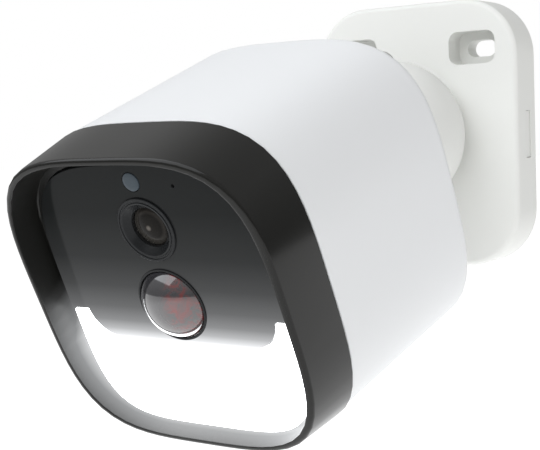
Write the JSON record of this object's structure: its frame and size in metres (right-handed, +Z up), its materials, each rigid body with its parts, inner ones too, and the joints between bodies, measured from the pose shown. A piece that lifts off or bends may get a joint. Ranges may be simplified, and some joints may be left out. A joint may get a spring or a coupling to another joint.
{
  "type": "floodlight security camera",
  "caption": "Wall-mounted security camera: rounded-square head with lens, motion sensor and floodlight in a deep dark hood, on a swivel, tilt and spin wall mount.",
  "frame": {"origin": "centre of the wall plate's back face, which lies on the wall", "axes": "-Y points away from the wall, +Z up, +X to the right as seen from in front"},
  "size_m": [0.081, 0.158, 0.1135],
  "materials": {
    "white_abs": "satin moulded white plastic",
    "mount_white": "satin moulded off-white plastic",
    "foam": "closed-cell foam",
    "steel": "zinc-plated steel",
    "black_gloss": "glossy black moulded plastic",
    "panel_dark": "glossy dark window plastic",
    "black_matte": "matte black moulded plastic",
    "dark_grey": "dark grey moulded plastic",
    "seal_rubber": "black silicone rubber",
    "lens_glass": "coated lens glass",
    "filter_glass": "coated filter glass",
    "sensor_window": "grey-blue smoked window",
    "pir_plastic": "translucent grey lens plastic",
    "diffuser": "opal diffuser plastic",
    "reflector": "white reflector plastic",
    "led": "yellow phosphor LED chips",
    "board": "green circuit board",
    "chip": "black chip package",
    "aluminium": "extruded aluminium",
    "brass": "gold-plated contacts",
    "lead_red": "insulated wire",
    "cell_wrap": "shrink-wrapped cells",
    "bushing": "self-lubricating grey plastic",
    "flap_rubber": "light grey soft rubber",
    "button_red": "red plastic"
  },
  "bodies": {
    "wall_mount": {"wall_plate": "mount_white", "wall_gasket": "foam", "cable_knockout": "mount_white", "swivel_post": "steel", "post_washer": "steel", "post_screw": "steel"},
    "swivel": {"swivel_dome": "mount_white", "tilt_pin": "steel", "pin_washers": "black_matte"},
    "arm": {"tilt_arm": "dark_grey", "spindle_clip": "steel"},
    "collar": {"lock_collar": "mount_white"},
    "head": {"hood_frame": "black_gloss", "body_shell": "white_abs", "body_seal": "seal_rubber", "front_panel": "panel_dark", "panel_gasket": "foam", "lens_ring": "dark_grey", "lens_glass": "lens_glass", "lens_barrel": "black_matte", "lens_rear_element": "lens_glass", "filter_housing": "black_matte", "image_sensor": "chip", "sensor_board": "board", "light_sensor_window": "sensor_window", "light_sensor_chip": "chip", "pir_ring": "dark_grey", "pir_dome": "pir_plastic", "pir_can": "steel", "pir_board": "board", "lamp_diffuser": "diffuser", "lamp_reflector": "reflector", "led_board": "reflector", "led_chips": "led", "lamp_heatsink": "aluminium", "lamp_lead": "lead_red", "chassis": "dark_grey", "chassis_screws": "steel", "main_board": "board", "shield_cans": "steel", "antenna": "brass", "battery_cells": "cell_wrap", "battery_holder": "black_matte", "speaker": "black_matte", "microphone": "brass", "spin_bushing": "bushing", "port_board": "board", "usb_socket": "steel"},
    "filter_shutter": {"ir_filter": "filter_glass"},
    "reset": {"reset_button": "button_red"},
    "flap": {"port_flap": "flap_rubber"}
  },
  "joints": [
    {"name": "mount_swivel", "type": "hinge", "parent": "wall_mount", "child": "swivel", "pos_m": [0, -0.03, 0], "axis": [0, 1, 0], "range_deg": [-170, 170]},
    {"name": "head_tilt", "type": "hinge", "parent": "swivel", "child": "arm", "pos_m": [0, -0.03, 0], "axis": [1, 0, 0], "range_deg": [-40, 30]},
    {"name": "head_spin", "type": "hinge", "parent": "arm", "child": "head", "pos_m": [0, -0.06263, -0.01521], "axis": [0, 0.9063, 0.4226], "range_deg": [-170, 170]},
    {"name": "collar_turn", "type": "hinge", "parent": "arm", "child": "collar", "pos_m": [0, -0.0581, -0.0131], "axis": [0, 0.9063, 0.4226], "range_deg": [0, 60]},
    {"name": "flap_open", "type": "hinge", "parent": "head", "child": "flap", "pos_m": [0, -0.07892, 0.01713], "axis": [1, 0, 0], "range_deg": [0, 80]},
    {"name": "reset_press", "type": "slide", "parent": "head", "child": "reset", "axis": [0, -0.9063, -0.4226], "range_m": [0, 0.0006], "stiffness_N_per_m": 400},
    {"name": "filter_shift", "type": "slide", "parent": "head", "child": "filter_shutter", "axis": [1, 0, 0], "range_m": [0, 0.0048]}
  ]
}
